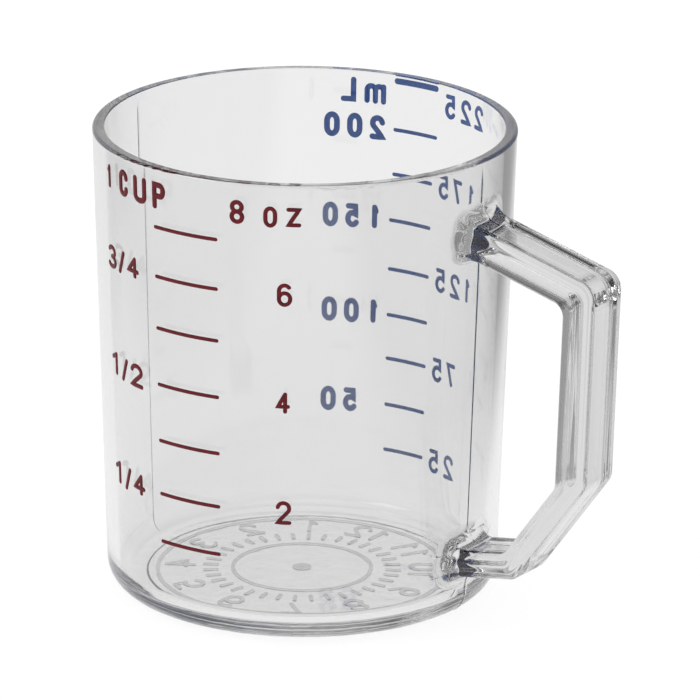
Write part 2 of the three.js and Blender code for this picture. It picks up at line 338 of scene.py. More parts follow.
def elbow(corner, arriving, leaving, radius):
    """Points round an elbow, from one straight to the next, and the direction at each."""
    turn = math.atan2(
        arriving[0] * leaving[1] - arriving[1] * leaving[0], float(np.dot(arriving, leaving))
    )
    start = corner - arriving * radius * math.tan(abs(turn) / 2)
    centre = start + math.copysign(radius, turn) * np.array([-arriving[1], arriving[0]])
    points, directions = [], []
    for k in range(ELBOW_STEPS + 1):
        angle = turn * k / ELBOW_STEPS
        spin = np.array([[math.cos(angle), -math.sin(angle)], [math.sin(angle), math.cos(angle)]])
        points.append(centre + spin @ (start - centre))
        directions.append(spin @ arriving)
    return points, directions


def handle_rails():
    """Outer and inner outline of the bar from the upper root to the lower one, as points and
    directions, and the headings of its four straights."""
    flush = HANDLE_SEAM  # the faces lie this far inside, so that the seam ends at the outline
    upper = shifted(line(wall_radius(UPPER_ARM_TOP), UPPER_ARM_TOP, -UPPER_ARM_FALL), -flush)
    stub = line(wall_radius(STUB_UNDERSIDE), STUB_UNDERSIDE, STUB_RISE)
    grip = line(BASE_RADIUS, 0, 90 - math.degrees(WALL_LEAN))
    grip = shifted(grip, flush - HANDLE_REACH)
    stub_end = stub[0] + STUB_LENGTH * stub[1]
    lower = shifted(line(stub_end[0], stub_end[1], LOWER_ARM_RISE), flush)
    stub = shifted(stub, flush)
    outer = [upper, grip, lower, stub]
    inner = [
        shifted(upper, 2 * flush - GRIP_THICKNESS),
        shifted(grip, GRIP_THICKNESS - 2 * flush),
        shifted(lower, LOWER_ARM_THICKNESS - 2 * flush),
        shifted(stub, STUB_THICKNESS - 2 * flush),
    ]
    headings = [upper[1], -grip[1], -lower[1], -stub[1]]
    outer_radii = [OUTER_ELBOW_RADIUS, OUTER_ELBOW_RADIUS, INNER_ELBOW_RADIUS]
    rails = []
    for tracks, radii in ((outer, outer_radii), (inner, [INNER_ELBOW_RADIUS] * 3)):
        points, directions = [], []
        for k in range(3):
            corner = crossing(tracks[k], tracks[k + 1])
            places, turns = elbow(corner, headings[k], headings[k + 1], radii[k])
            points += places
            directions += turns
        rails.append((np.array(points), np.array(directions)))
    return rails, headings


def section(outer, inner, heading):
    """One ring of the bar: points and normals, in the order outer face, +Y side, inner face and
    -Y side."""
    out = np.array([-heading[1], heading[0]])
    top = outer - HANDLE_EDGE_RADIUS * out
    bottom = inner + HANDLE_EDGE_RADIUS * out
    ring, normals = [], []

    def put(place, y, normal):
        ring.append((place[0], y, place[1]))
        normals.append(normal)

    def put_edge(place, side, start, end):
        for k in range(1, EDGE_STEPS):
            turn = math.radians(start + (end - start) * k / EDGE_STEPS)
            up, over = math.cos(turn), math.sin(turn)
            at = place + HANDLE_EDGE_RADIUS * up * out
            y = side * FACE_EDGE + HANDLE_EDGE_RADIUS * over
            put(at, y, (up * out[0], over, up * out[1]))

    def put_side(start, end, side):
        width = np.linalg.norm(end - start)
        for k in range(SIDE_STEPS + 1):
            share = 2 * k / SIDE_STEPS - 1
            place = (start + end + share * (end - start)) / 2
            turn = math.pi * share
            lean = SIDE_CROWN * math.pi * math.sin(turn) * (end - start) / width**2
            rise = SIDE_CROWN * (1 + math.cos(turn)) / 2
            put(place, side * (HALF_WIDTH + rise), unit([lean[0], side, lean[1]]))

    for y in FACE_PLACES:
        put(outer, y, (out[0], 0, out[1]))
    put_edge(top, 1, 0, 90)
    put_side(top, bottom, 1)
    put_edge(bottom, 1, 90, 180)
    for y in FACE_PLACES[::-1]:
        put(inner, y, (-out[0], 0, -out[1]))
    put_edge(bottom, -1, 180, 270)
    put_side(bottom, top, -1)
    put_edge(top, -1, 270, 360)
    return np.array(ring), np.array(normals)


def meets_wall(points, direction):
    """Where lines through the points along a direction meet the outer wall."""
    slope = math.tan(WALL_LEAN)
    dx, dz = direction
    x, y, z = points[:, 0], points[:, 1], points[:, 2]
    radius = wall_radius(z)
    a = dx * dx - (dz * slope) ** 2
    b = x * dx - radius * dz * slope
    c = x * x + y * y - radius * radius
    step = (-b + np.sqrt(b * b - a * c)) / a
    return points + step[:, None] * np.array([dx, 0, dz])


def add_root(skin, ring, ring_normals, away, columns, rows, fillet):
    """Joins the bar's last ring to the wall: a fillet, then the patch of wall out to its frame.

    away is the bar's direction from the wall. Returns the ring where the fillet meets the bar."""
    foot = meets_wall(ring, away)
    along = fillet["along"] * np.array([away[0], 0, away[1]])
    bar_end = foot + along
    up = np.array([-away[1], 0, away[0]])
    spread = ring_normals[:, 1] * fillet["side"]
    rise = ring_normals @ up
    lift = rise * np.where(rise > 0, fillet["above"], fillet["below"])
    azimuths = np.arctan2(foot[:, 1] + spread, foot[:, 0])
    start, wall_normals = on_wall(azimuths, foot[:, 2] + lift)
    inward = foot - start
    inward -= (inward * wall_normals).sum(axis=1, keepdims=True) * wall_normals
    first = start + FILLET_PULL * inward
    second = bar_end - FILLET_PULL * along
    # A cubic curve from the wall to the bar at each point of the ring
    t = np.linspace(0, 1, FILLET_STEPS + 1)[:, None, None]
    curve = (1 - t) ** 3 * start + 3 * t * (1 - t) ** 2 * first
    curve = curve + 3 * t**2 * (1 - t) * second + t**3 * bar_end
    outwards = np.gradient(curve, axis=0)
    around = np.roll(curve, -1, axis=1) - np.roll(curve, 1, axis=1)
    normals = unit(np.cross(outwards, around))
    if (normals[-1] * ring_normals).sum() < 0:
        normals = -normals
    normals[0] = wall_normals
    normals[-1] = ring_normals
    curve, normals = seamed(curve, normals)
    skin.grid(curve, normals, closed=True)
    walk = ring_of_frame(columns, rows)
    if away[1] > 0:
        # The lower root's outer face looks down, so its walk is mirrored in the frame's middle
        walk[:, 1] = rows[0] + rows[-1] - walk[:, 1]
    share = np.linspace(0, 1, PATCH_STEPS + 1)[:, None]
    patch_azimuths = share * azimuths + (1 - share) * walk[:, 0]
    patch_heights = share * start[:, 2] + (1 - share) * walk[:, 1]
    points, patch_normals = on_wall(patch_azimuths, patch_heights)
    points, patch_normals = seamed(points, patch_normals)
    skin.grid(points, patch_normals, closed=True)
    return bar_end


def add_handle(skin, columns, upper_rows, lower_rows):
    """The bar between the two roots, and the roots."""
    ((outer, directions), (inner, _)), headings = handle_rails()
    rings = [section(o, i, d) for o, i, d in zip(outer, inner, directions)]
    upper_ring, upper_normals = rings[0]
    lower_ring, lower_normals = rings[-1]
    upper_end = add_root(
        skin, upper_ring, upper_normals, headings[0], columns, upper_rows, UPPER_FILLET
    )
    lower_end = add_root(
        skin, lower_ring, lower_normals, -headings[-1], columns, lower_rows, LOWER_FILLET
    )
    points = np.array([upper_end] + [p for p, _ in rings] + [lower_end])
    normals = np.array([upper_normals] + [n for _, n in rings] + [lower_normals])
    points, normals = seamed(points, normals)
    skin.grid(points, normals, closed=True)


def wall_columns():
    """Azimuths round the cup, in radians, close together at both seams and over the handle."""
    near = frame_columns()
    seam = np.array(SEAM_PLACES) / wall_radius(CUP_HEIGHT / 2)
    far = np.concatenate([-seam[::-1], [0.0], seam]) + math.pi
    left = np.linspace(near[-1], far[0], HALF_ROUND_STEPS + 1)[1:-1]
    right = np.linspace(far[-1], near[0] + 2 * math.pi, HALF_ROUND_STEPS + 1)[1:-1]
    return np.concatenate([near, left, far, right])


def add_wall(skin, azimuths, upper_rows, lower_rows):
    """Inner floor and wall, rim, outer wall and heel, down to the ring that the cup stands on."""
    lean = math.degrees(WALL_LEAN)
    level = 1 / math.cos(WALL_LEAN)
    inner_wall = WALL_THICKNESS * level  # the wall's thickness, measured level
    tuck = (1 - math.sin(WALL_LEAN)) * level  # how far in a heel's centre lies, for a radius of one
    heel_centre = BASE_RADIUS - HEEL_RADIUS * tuck
    heel = arc(heel_centre, HEEL_RADIUS, HEEL_RADIUS, -90, -lean, HEEL_STEPS)
    across, up = math.cos(WALL_LEAN), -math.sin(WALL_LEAN)
    heights = np.concatenate([lower_rows, MIDDLE_HEIGHTS, upper_rows, TOP_HEIGHTS])
    wall = [(wall_radius(z), z, across, up) for z in heights]
    outside = [(PANEL_RADIUS + PANEL_DEPTH, 0, 0, -1)] + heel + wall
    r = OUTER_RIM_RADIUS
    outer_rim = arc(RIM_RADIUS - r, CUP_HEIGHT - r, r, -lean, 90, OUTER_RIM_STEPS)
    r = INNER_RIM_RADIUS
    rim_centre = RIM_RADIUS - inner_wall + r
    inner_rim = arc(rim_centre, CUP_HEIGHT - r, r, 90, 180 - lean, INNER_RIM_STEPS)
    r = INNER_HEEL_RADIUS
    heel_centre = wall_radius(FLOOR_THICKNESS) - inner_wall - r * tuck
    inner_heel = arc(heel_centre, FLOOR_THICKNESS + r, -r, 180 - lean, 90, INNER_HEEL_STEPS)
    floor = [(r, FLOOR_THICKNESS, 0, 1) for r in (FLOOR_RING_RADIUS, 0)]
    lower_start = len(outside) - len(wall)
    upper_start = lower_start + len(lower_rows) + len(MIDDLE_HEIGHTS)
    bands = [(lower_start, len(lower_rows)), (upper_start, len(upper_rows))]
    last_column = len(frame_columns()) - 1

    def in_frame(i, j):
        return j < last_column and any(start <= i < start + rows - 1 for start, rows in bands)

    points, normals = seamed(*revolve(outside, azimuths))
    skin.grid(points, normals, closed=True, skip=in_frame)
    inside = [outside[-1]] + outer_rim + inner_rim + inner_heel + floor
    points, normals = revolve(inside, azimuths)
    skin.grid(points, normals, closed=True)


def circle(radius, turns):
    """Points on a circle round the axis, in plan."""
    return [(radius * math.cos(t), radius * math.sin(t)) for t in turns]


def add_underside(skin, azimuths):
    """The sunk panel under the cup, with the numbers, rings and gate mark raised on it."""
    slant = -math.sqrt(0.5)
    edge = [
        (PANEL_RADIUS + PANEL_DEPTH, 0, slant, slant),
        (PANEL_RADIUS, PANEL_DEPTH, slant, slant),
    ]
    points, normals = revolve(edge, azimuths)
    skin.grid(points, normals, closed=True)
    places = [Vector(p) for p in circle(PANEL_RADIUS, azimuths)]
    loops = [list(range(len(places)))]
    shapes = []
    for outlines in dial_shapes():
        shapes.append(set(range(len(loops), len(loops) + len(outlines))))
        for outline in outlines:
            loops.append(list(range(len(places), len(places) + len(outline))))
            places += outline
    flat, _, faces, _, _, owners = delaunay_2d_cdt(places, [], loops, 1, DIAL_WELD)
    down = (0.0, 0.0, -1.0)
    low, high = PANEL_DEPTH - RELIEF_HEIGHT, PANEL_DEPTH
    borders = {}
    for face, owner in zip(faces, owners):
        # A face is raised where an odd number of a stroke's outlines go round it
        raised = any(len(shape.intersection(owner)) % 2 for shape in shapes)
        z = low if raised else high
        skin.face([(flat[v].x, flat[v].y, z) for v in face], [down] * len(face))
        centre = sum((flat[v] for v in face), Vector((0, 0))) / len(face)
        for a, b in zip(face, face[1:] + face[:1]):
            borders.setdefault((min(a, b), max(a, b)), []).append((raised, centre))
    for (a, b), sides in borders.items():
        if len(sides) == 2 and sides[0][0] != sides[1][0]:
            centre = sides[0][1] if sides[0][0] else sides[1][1]
            p, q = flat[a], flat[b]
            across = Vector((q.y - p.y, p.x - q.x)).normalized()
            if across.dot(p - centre) < 0:
                across = -across
            step = [(p.x, p.y, low), (q.x, q.y, low), (q.x, q.y, high), (p.x, p.y, high)]
            skin.face(step, [(across.x, across.y, 0)] * 4)


# Lettering

LOOP_ROUNDING = 0.7  # how high the round end of a loop is, as a share of half its width


def bend(x, y, across, up, start, end, steps):
    """Points of an elliptical arc in a character's box, angles in degrees."""
    turns = np.radians(np.linspace(start, end, steps + 1))
    return [(x + across * math.cos(t), y + up * math.sin(t)) for t in turns]


def loop(x, y, across, up, steps=6):
    """A closed line with round ends and straight sides."""
    rounding = min(across * LOOP_ROUNDING, up)
    top = bend(x, y + up - rounding, across, rounding, 0, 180, 2 * steps)
    bottom = bend(x, y - up + rounding, across, rounding, 180, 360, 2 * steps)
    return top + bottom + top[:1]


# The centre lines of each character's strokes in a box one unit wide and high
STROKES = {
    "-": [[(0, 0.5), (1, 0.5)]],
    "0": [loop(0.5, 0.5, 0.5, 0.5)],
    "1": [[(0.2, 0.8), (0.55, 1)], [(0.55, 1), (0.55, 0)]],
    "2": [bend(0.5, 0.72, 0.48, 0.28, 168, -30, 12) + [(0, 0), (1, 0)]],
    "3": [
        bend(0.46, 0.76, 0.44, 0.24, 150, -90, 12),
        bend(0.46, 0.26, 0.5, 0.26, 90, -150, 14),
    ],
    "4": [[(0.72, 0), (0.72, 1)], [(0.72, 1), (0, 0.28), (1, 0.28)]],
    "5": [[(0.92, 1), (0.15, 1), (0.08, 0.56)] + bend(0.46, 0.32, 0.52, 0.32, 120, -145, 14)],
    "6": [loop(0.5, 0.3, 0.5, 0.3), bend(0.5, 0.7, 0.5, 0.3, 40, 180, 8) + [(0, 0.3)]],
    "7": [[(0, 1), (1, 1), (0.35, 0)]],
    "8": [loop(0.5, 0.76, 0.46, 0.24), loop(0.5, 0.26, 0.5, 0.26)],
    "9": [loop(0.5, 0.7, 0.5, 0.3), [(0.2, 0)] + bend(0.25, 0.7, 0.75, 0.6, -70, 0, 8)],
    "/": [[(0.15, -0.06), (0.75, 1.06)]],
    "C": [bend(0.5, 0.76, 0.5, 0.24, 0, 180, 10) + bend(0.5, 0.24, 0.5, 0.24, 180, 360, 10)],
    "U": [[(0, 1)] + bend(0.5, 0.24, 0.5, 0.24, 180, 360, 10) + [(1, 1)]],
    "P": [[(0, 0), (0, 1)] + bend(0.6, 0.74, 0.4, 0.26, 90, -90, 10) + [(0, 0.48)]],
    "o": [loop(0.5, 0.5, 0.5, 0.5)],
    "z": [[(0, 1), (1, 1), (0, 0), (1, 0)]],
    "m": [
        [(0, 0), (0, 1)],
        [(0, 0.7)] + bend(0.25, 0.72, 0.25, 0.28, 150, 0, 7) + [(0.5, 0)],
        [(0.5, 0.7)] + bend(0.75, 0.72, 0.25, 0.28, 150, 0, 7) + [(1, 0)],
    ],
    "L": [[(0, 1), (0, 0), (1, 0)]],
}
SHARPEST_MITRE = 0.6  # cosine that limits how far a mitred bend reaches out
SHARPEST_BEND = 0.6  # cosine of the bend at which a stroke in relief starts anew
END_STEPS = 5  # steps of half a stroke's round end
LONGEST_PIECE = 0.8
NO_LENGTH = 1e-9  # added to lengths that are nought at the tip of a stroke

# Section of a printed stroke: share of its half width, share of its height, tilt of its surface
INK_SECTION = [
    (-1, 0, -75),
    (-0.85, 0.7, -50),
    (-0.45, 1, -10),
    (0.45, 1, 10),
    (0.85, 0.7, 50),
    (1, 0, 75),
]
MIDDLE_RADIUS = wall_radius(CUP_HEIGHT / 2)  # turns azimuths into distances round the wall

# The unit letters: character, first and last azimuth, lowest and highest point, width of a stroke
UNIT_LETTERS = [
    ("C", -115.6, -111.2, 71.8, 76.4, 1.0),
    ("U", -108.6, -103.1, 71.8, 76.4, 1.0),
    ("P", -100.8, -96.0, 71.8, 76.4, 1.0),
    ("o", -66.8, -63.0, 71.6, 75.2, 0.7),
    ("z", -60.6, -56.6, 71.8, 75.1, 0.7),
    ("m", 100.6, 107.2, 72.9, 76.4, 0.95),
    ("L", 109.6, 114.1, 72.9, 77.2, 0.95),
]
TICK_SPREAD = 0.1  # how much thicker the ink of a tick has run than its node
FRACTION_SPREAD = 0.45  # how much further the digits of a fraction reach to each side

# Widths of the strokes in each group of numbers, by the start of the node's name
NUMBER_STROKES = {
    "cup": 0.8,
    "ounce_numeral_8": 0.76,
    "ounce": 0.68,
    "metric_225": 0.78,
    "metric_175": 0.74,
    "metric_125": 0.74,
    "metric_75": 0.74,
    "metric_25": 0.74,
    "metric": 1.0,
}


def divided(points):
    """The same line with no point repeated and its long pieces cut short, to follow a round wall."""
    finer = points[:1]
    for end in points[1:]:
        start = finer[-1]
        length = np.linalg.norm(end - start)
        if length > WELD:
            pieces = math.ceil(length / LONGEST_PIECE)
            finer += [start + (end - start) * k / pieces for k in range(1, pieces + 1)]
    return finer


def stroke_sides(points, width):
    """A stroke with round ends: its centre points, the sideways reach to its edge at each, a share
    of its height that falls to nothing at the ends, and whether it is closed."""
    points = divided([np.array(p, float) for p in points])
    closed = len(points) > 2 and np.allclose(points[0], points[-1])
    if closed:
        points = points[:-1]
    count = len(points)
    rows = []
    for i, point in enumerate(points):
        at_start, at_end = i == 0 and not closed, i == count - 1 and not closed
        leaving = None if at_end else unit(points[(i + 1) % count] - point)
        arriving = leaving if at_start else unit(point - points[i - 1])
        leaving = arriving if at_end else leaving
        along = unit(arriving + leaving)
        side = np.array([-along[1], along[0]]) * width / 2
        if not (at_start or at_end):
            rows.append((point, side / max(float(np.dot(along, arriving)), SHARPEST_MITRE), 1.0))
            continue
        cap = []
        for k in range(END_STEPS + 1):
            turn = math.radians(90 * k / END_STEPS)
            out = along * width / 2 * (-math.sin(turn) if at_start else math.sin(turn))
            cap.append((point + out, side * math.cos(turn), math.cos(turn)))
        rows += cap[::-1] if at_start else cap
    places, reaches, shares = (np.array(column) for column in zip(*rows))
    return places, reaches, shares, closed


def straight_runs(points):
    """The stretches of a line between its sharp corners."""
    points = divided([np.array(p, float) for p in points])
    starts = [0]
    for k in range(1, len(points) - 1):
        arriving, leaving = unit(points[k] - points[k - 1]), unit(points[k + 1] - points[k])
        if np.dot(arriving, leaving) < SHARPEST_BEND:
            starts.append(k)
    return [points[a : b + 1] for a, b in zip(starts, starts[1:] + [len(points) - 1])]


def anticlockwise(outline):
    """The outline's points as vectors, in that order round it."""
    x, y = outline[:, 0], outline[:, 1]
    area = (x * np.roll(y, -1) - y * np.roll(x, -1)).sum()
    return [Vector(p) for p in (outline if area > 0 else outline[::-1])]


def stroke_outlines(points, width):
    """The outlines of a stroke in the plane: one loop, or two where the stroke is closed."""
    places, reaches, _, closed = stroke_sides(points, width)
    left, right = places + reaches, places - reaches
    outlines = [left, right] if closed else [np.concatenate([left, right[-2:0:-1]])]
    return [anticlockwise(outline) for outline in outlines]


def dial_shapes():
    """Outlines of each stroke under the cup, in plan, to be read from below."""
    shapes = []
    for hour in range(1, 13):
        turn = math.radians(90 + 30 * hour)
        outward = np.array([math.cos(turn), math.sin(turn)])
        right = np.array([-outward[1], outward[0]])
        text = str(hour)
        for k, character in enumerate(text):
            middle = (k - (len(text) - 1) / 2) * DIAL_NUMBER_PITCH
            for stroke in STROKES[character]:
                path = []
                for x, y in stroke:
                    over = middle + (x - 0.5) * DIAL_NUMBER_WIDTH
                    out = DIAL_RADIUS + (y - 0.5) * DIAL_NUMBER_HEIGHT
                    path.append(outward * out + right * over)
                shapes += [stroke_outlines(run, RELIEF_STROKE) for run in straight_runs(path)]
    for k in range(DIAL_TICKS):
        turn = 2 * math.pi * k / DIAL_TICKS
        tick = [(r * math.cos(turn), r * math.sin(turn)) for r in DIAL_TICK_RADII]
        shapes.append(stroke_outlines(tick, RELIEF_STROKE))
    for radius in DIAL_RING_RADII:
        ring = circle(radius, np.linspace(0, 2 * math.pi, DIAL_RING_STEPS + 1))
        shapes.append(stroke_outlines(ring, RELIEF_STROKE))
    gate = circle(GATE_RADIUS, np.linspace(0, 2 * math.pi, GATE_STEPS + 1)[:-1])
    shapes.append([anticlockwise(np.array(gate))])
    return shapes


def print_stroke(skin, points, width):
    """Lays a stroke of ink on the wall. Its points are (distance round the wall, height)."""
    places, reaches, shares, closed = stroke_sides(points, width)
    skin.start_body()
    rows, row_normals = [], []
    for across, rise, tilt in INK_SECTION:
        flat = places + across * reaches
        azimuths = flat[:, 0] / MIDDLE_RADIUS
        at, outward = on_wall(azimuths, flat[:, 1])
        height = (INK_THICKNESS + INK_SINK) * rise * shares - INK_SINK
        over, up = reaches[:, 0], reaches[:, 1]
        reach = np.stack([-np.sin(azimuths) * over, np.cos(azimuths) * over, up], axis=-1)
        length = np.linalg.norm(reach, axis=1, keepdims=True)
        sideways = reach / (length + NO_LENGTH)
        turn = math.radians(tilt)
        rows.append(at + outward * height[:, None])
        row_normals.append(unit(math.cos(turn) * outward + math.sin(turn) * sideways))
    skin.grid(np.array(rows), np.array(row_normals), closed=closed)
    under = np.array([rows[0], rows[-1]])
    skin.grid(under, np.array([-outward, -outward]), closed=closed)


def print_character(name, character, low, high, width, ink, replaced=()):
    """Prints a character so that it fills a box on the wall, low and high being its corners, in an
    ink given as its material and slot."""
    strokes = STROKES[character]
    every = np.array([p for stroke in strokes for p in stroke])
    least, most = every.min(axis=0), every.max(axis=0)
    span = np.where(most > least, most - least, 1)
    inner_low, inner_high = low + width / 2, high - width / 2
    middle = (inner_low + inner_high) / 2
    skin = Skin()
    for stroke in strokes:
        share = (np.array(stroke) - (least + most) / 2) / span
        print_stroke(skin, middle + share * (inner_high - inner_low), width)
    add_piece(name, skin.mesh(name), ink[0], replaced)


def character_of(node):
    """The character that a CAD node of the print stands for."""
    words = node.split("_")
    if "tick" in words:
        return "-"
    if words[-1] == "bar":
        return "/"
    if words[-1] == "numerator":
        return words[1]
    if words[-1] == "denominator":
        return words[2]
    if words[0] == "metric":
        return words[1][int(words[3]) - 1]
    return words[-1]


def add_print(red, blue):
    """Prints a stroke or character in the place of each node of the print, and the unit letters."""
    for name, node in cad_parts.items():
        if name in ("cup_body", "handle"):
            continue
        points = np.array([v.co for v in node.data.vertices]) * METRE
        around = np.arctan2(points[:, 1], points[:, 0]) * MIDDLE_RADIUS
        low = np.array([around.min(), points[:, 2].min()])
        high = np.array([around.max(), points[:, 2].max()])
        character = character_of(name)
        if character == "-":
            width = high[1] - low[1] + TICK_SPREAD
        else:
            width = next(w for start, w in NUMBER_STROKES.items() if name.startswith(start))
        if name.endswith(("numerator", "denominator")):
            low[0] -= FRACTION_SPREAD
            high[0] += FRACTION_SPREAD
        ink = blue if name.startswith("metric") else red
        print_character("print_" + name, character, low, high, width, ink, [name])
    for character, first, last, bottom, top, width in UNIT_LETTERS:
        ink = blue if first > 0 else red
        low = np.array([math.radians(first) * MIDDLE_RADIUS, bottom])
        high = np.array([math.radians(last) * MIDDLE_RADIUS, top])
        print_character("print_unit_" + character, character, low, high, width, ink)


# Materials

REFRACTIVE_INDEX = 1.585
PLASTIC_TONE = 0.89
# Painted shade: the same plastic is given a darker tone in the handle, where the thick bar looks
# darker
HANDLE_SHADE_TONE = 0.78  # the thick bar looks darker
HANDLE_SHADE_START = (0.036, 0.04)  # metres along X
PLASTIC_ROUGHNESS = (0.008, 0.03)
GRAIN_SCALE = 900.0
TINT_COLOUR = (0.50, 0.50, 0.51, 1)
TINT_DENSITY = 9.0

# Ripples in the surfaces: scale of the noise, height in metres, strength
WALL_RIPPLE = (60.0, 0.0004, 0.04)
FLOOR_RIPPLE = (260.0, 0.0002, 0.35)
FLOOR_TOP = (0.003, 0.0035)  # metres above the table, where the floor's ripple ends

# The relief's raised faces are a little matt, like the engraving in the mould that shaped them, and
# are given a darker tone as painted shade
RELIEF_SHADE_TONE = 0.62
RELIEF_ROUGHNESS = 0.3
RELIEF_EDGE = (0.0247, 0.0249)  # metres from the axis, where the relief ends
RELIEF_LEVEL = (0.0001, 0.0002)  # metres above the table, just over the raised faces

INK_INDEX = 1.3
INK_ROUGHNESS = (0.3, 0.5)
INK_PATCH_SCALE = 700.0
INK_PATCH_RANGE = (0.3, 0.7)
RED_LIGHT = (0.14, 0.007, 0.013)
RED_DARK = (0.09, 0.005, 0.009)
BLUE_LIGHT = (0.075, 0.18, 0.56)
BLUE_DARK = (0.055, 0.14, 0.45)


def new_material(name):
    material = bpy.data.materials.new(name)
    material.use_nodes = True
    tree = material.node_tree
    tree.nodes.clear()
    return material, tree


def grey(level):
    return (level, level, level, 1)


def add_node(tree, kind, **inputs):
    """Adds a node with the given values at its sockets."""
    node = tree.nodes.new(kind)
    for name, value in inputs.items():
        node.inputs[name.replace("_", " ")].default_value = value
    return node


def feed(tree, socket, source):
    """Links a socket to another one, or sets it to a value."""
    if isinstance(source, bpy.types.NodeSocket):
        tree.links.new(source, socket)
    else:
        socket.default_value = source


def add_noise(tree, scale, detail):
    """Noise over the place on the object, between nought and one."""
    place = tree.nodes.new("ShaderNodeTexCoord")
    noise = add_node(tree, "ShaderNodeTexNoise", Scale=scale, Detail=detail)
    tree.links.new(place.outputs["Object"], noise.inputs["Vector"])
    return noise.outputs["Fac"]


def add_range(tree, source, low, high, start=0.0, end=1.0):
    """Carries a value from start..end to low..high."""
    ranged = add_node(
        tree, "ShaderNodeMapRange", From_Min=start, From_Max=end, To_Min=low, To_Max=high
    )
    tree.links.new(source, ranged.inputs["Value"])
    return ranged.outputs["Result"]


def add_math(tree, operation, *sources):
    """The outcome of an operation on sockets and numbers."""
    node = tree.nodes.new("ShaderNodeMath")
    node.operation = operation
    for socket, source in zip(node.inputs, sources):
        feed(tree, socket, source)
    return node.outputs["Value"]


def add_vector_math(tree, operation, *vectors):
    """The length of a vector or the dot product of two, each a socket or a row of numbers."""
    node = tree.nodes.new("ShaderNodeVectorMath")
    node.operation = operation
    for socket, vector in zip(node.inputs, vectors):
        feed(tree, socket, vector)
    return node.outputs["Value"]


def add_parts(tree, vector):
    """The coordinates of a vector."""
    parts = tree.nodes.new("ShaderNodeSeparateXYZ")
    tree.links.new(vector, parts.inputs["Vector"])
    return parts.outputs


def add_mix(tree, share, first, second, blend="MIX"):
    """Mixes two colours, or blends the second one over the first. All three may be sockets."""
    mix = tree.nodes.new("ShaderNodeMix")
    mix.data_type = "RGBA"
    mix.blend_type = blend
    feed(tree, mix.inputs["Factor"], share)
    colours = [socket for socket in mix.inputs if socket.type == "RGBA"]
    feed(tree, colours[0], first)
    feed(tree, colours[1], second)
    return next(socket for socket in mix.outputs if socket.type == "RGBA")


def add_ripple(tree, scale, height, strength, normal=None):
    """Bends the surface in soft waves, over the bends that normal has already."""
    bump = add_node(tree, "ShaderNodeBump", Distance=height)
    feed(tree, bump.inputs["Strength"], strength)
    tree.links.new(add_noise(tree, scale, detail=1.0), bump.inputs["Height"])
    if normal:
        tree.links.new(normal, bump.inputs["Normal"])
    return bump.outputs["Normal"]


def add_output(tree, shader):
    """Makes a shader the surface of the material."""
    output = tree.nodes.new("ShaderNodeOutputMaterial")
    tree.links.new(shader, output.inputs["Surface"])
    return output


def clear_plastic():
    """Clear, faintly tinted plastic, matt on the relief under the base, with painted shade darkening
    the handle and the relief.
    """
    material, tree = new_material("clear_plastic")
    surface = add_node(
        tree, "ShaderNodeBsdfPrincipled", IOR=REFRACTIVE_INDEX, Transmission_Weight=1.0
    )
    place = tree.nodes.new("ShaderNodeTexCoord").outputs["Object"]
    parts = add_parts(tree, place)
    away = add_vector_math(tree, "LENGTH", place)
    in_panel = add_range(tree, away, 1.0, 0.0, *RELIEF_EDGE)
    raised = add_range(tree, parts["Z"], 1.0, 0.0, *RELIEF_LEVEL)
    relief = add_math(tree, "MULTIPLY", in_panel, raised)
    # The handle's darker tone is painted shade
    in_shaded_handle = add_range(tree, parts["X"], 0.0, 1.0, *HANDLE_SHADE_START)
    tone = add_mix(tree, in_shaded_handle, grey(PLASTIC_TONE), grey(HANDLE_SHADE_TONE))
    # The relief's darker tone is painted shade; its roughness is real
    tone = add_mix(tree, relief, tone, grey(RELIEF_SHADE_TONE))
    tree.links.new(tone, surface.inputs["Base Color"])
    gloss = add_range(tree, add_noise(tree, GRAIN_SCALE, detail=2.0), *PLASTIC_ROUGHNESS)
    rough = add_math(tree, "MULTIPLY_ADD", relief, RELIEF_ROUGHNESS, gloss)
    tree.links.new(rough, surface.inputs["Roughness"])
    normal = add_ripple(tree, *WALL_RIPPLE)
    scale, height, strength = FLOOR_RIPPLE
    on_floor = add_range(tree, parts["Z"], strength, 0.0, *FLOOR_TOP)
    normal = add_ripple(tree, scale, height, on_floor, normal)
    tree.links.new(normal, surface.inputs["Normal"])
    tint = add_node(tree, "ShaderNodeVolumeAbsorption", Color=TINT_COLOUR, Density=TINT_DENSITY)
    output = add_output(tree, surface.outputs["BSDF"])
    tree.links.new(tint.outputs["Volume"], output.inputs["Volume"])
    return material


def printing_ink(name, light, dark):
    """Opaque printing ink, a little uneven in colour and gloss."""
    material, tree = new_material(name)
    surface = add_node(tree, "ShaderNodeBsdfPrincipled", IOR=INK_INDEX)
    patches = add_noise(tree, INK_PATCH_SCALE, detail=3.0)
    ramp = tree.nodes.new("ShaderNodeValToRGB")
    for element, position, colour in zip(ramp.color_ramp.elements, INK_PATCH_RANGE, (dark, light)):
        element.position = position
        element.color = (*colour, 1)
    tree.links.new(patches, ramp.inputs["Fac"])
    tree.links.new(ramp.outputs["Color"], surface.inputs["Base Color"])
    tree.links.new(add_range(tree, patches, *INK_ROUGHNESS), surface.inputs["Roughness"])
    add_output(tree, surface.outputs["BSDF"])
    return material


# Surroundings: a white table under a white sky. The plastic mirrors a dark band in that sky, and
# light that it bends far up or to a side meets the end of the white.

TABLE_SIZE = 60.0  # metres
TABLE_DROP = 0.0002  # how far it lies below the cup, so that they don't share a plane
PAPER_SHADE = 0.14  # what the paper gives back of the light on it, its shadows with it
PAPER_GLOW = 0.89  # what it shows beside that

